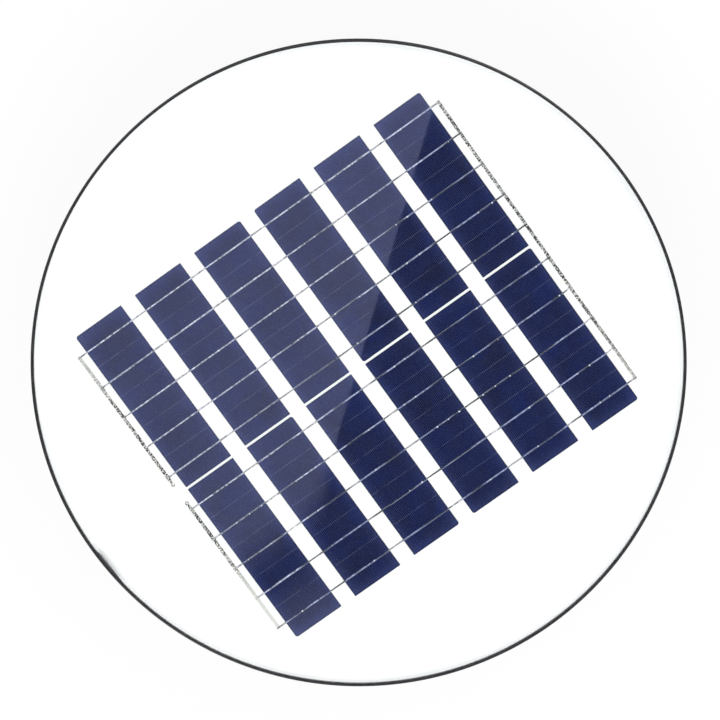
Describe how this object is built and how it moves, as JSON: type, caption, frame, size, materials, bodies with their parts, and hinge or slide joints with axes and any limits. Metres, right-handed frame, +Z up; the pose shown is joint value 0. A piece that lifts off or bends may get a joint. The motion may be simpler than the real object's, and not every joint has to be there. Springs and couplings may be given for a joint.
{
  "type": "solar attic fan",
  "caption": "Roof exhaust fan: round framed solar panel on a hood over a screened throat, with a bladed fan on a motor and a round roof flange.",
  "frame": {"origin": "centre of the roof flange's underside, on the fan's axis", "axes": "+Z up along the fan's axis away from the roof, +X along the cell ribbons towards the bus ribbon that joins both rows, terminals at the -X end"},
  "size_m": [0.5484, 0.5484, 0.216],
  "materials": {
    "glass": "clear tempered glass, smooth",
    "cell": "dark blue multicrystalline silicon behind glass",
    "ribbon": "tinned copper ribbon, soldered",
    "backsheet": "white film",
    "sealant": "black silicone, satin",
    "junction_plastic": "moulded black plastic, fine grain",
    "powder_coat": "black powder coat, fine texture",
    "screen_steel": "black coated steel",
    "screen_wire": "galvanised welded wire",
    "zinc_steel": "zinc plated",
    "motor_alloy": "die cast aluminium",
    "bearing_steel": "ground steel",
    "lamination_steel": "stacked electrical steel",
    "board": "solder masked board",
    "magnet": "sintered ferrite ring",
    "cable_jacket": "black jacket, satin",
    "hub_steel": "zinc plated pressed steel",
    "blade_alloy": "mill finish sheet aluminium"
  },
  "bodies": {
    "frame": {"backsheet": "backsheet", "base_bolt_1": "zinc_steel", "base_bolt_2": "zinc_steel", "base_bolt_3": "zinc_steel", "base_bolt_4": "zinc_steel", "base_flashing": "powder_coat", "base_nut_1": "zinc_steel", "base_nut_2": "zinc_steel", "base_nut_3": "zinc_steel", "base_nut_4": "zinc_steel", "bird_screen": "screen_wire", "cable_gland": "junction_plastic", "cell_a1": "cell", "cell_a2": "cell", "cell_a3": "cell", "cell_a4": "cell", "cell_a5": "cell", "cell_a6": "cell", "cell_b1": "cell", "cell_b2": "cell", "cell_b3": "cell", "cell_b4": "cell", "cell_b5": "cell", "cell_b6": "cell", "cross_bus_ribbon": "ribbon", "driver_board": "board", "edge_sealant": "sealant", "front_glass": "glass", "hood": "powder_coat", "hood_bolt_1": "zinc_steel", "hood_bolt_2": "zinc_steel", "hood_bolt_3": "zinc_steel", "hood_bolt_4": "zinc_steel", "hood_bracket_1": "powder_coat", "hood_bracket_2": "powder_coat", "hood_bracket_3": "powder_coat", "hood_bracket_4": "powder_coat", "junction_box": "junction_plastic", "junction_box_lid": "junction_plastic", "lower_bearing": "bearing_steel", "motor_cable": "cable_jacket", "motor_end_cap": "motor_alloy", "motor_housing": "motor_alloy", "motor_mount": "powder_coat", "row_a_ribbons": "ribbon", "row_b_ribbons": "ribbon", "screen_lower_ring": "screen_steel", "screen_upper_ring": "screen_steel", "stator_core": "lamination_steel", "upper_bearing": "bearing_steel"},
    "rotor": {"rotor_magnet": "magnet", "motor_shaft": "bearing_steel", "fan_hub": "hub_steel", "fan_blade_1": "blade_alloy", "fan_blade_2": "blade_alloy", "fan_blade_3": "blade_alloy", "fan_blade_4": "blade_alloy", "fan_blade_5": "blade_alloy", "hub_washer": "zinc_steel", "hub_nut": "zinc_steel"}
  },
  "joints": [
    {"name": "fan_spin", "type": "hinge", "parent": "frame", "child": "rotor", "pos_m": [0, 0, 0.06], "axis": [0, 0, 1], "continuous": true}
  ]
}
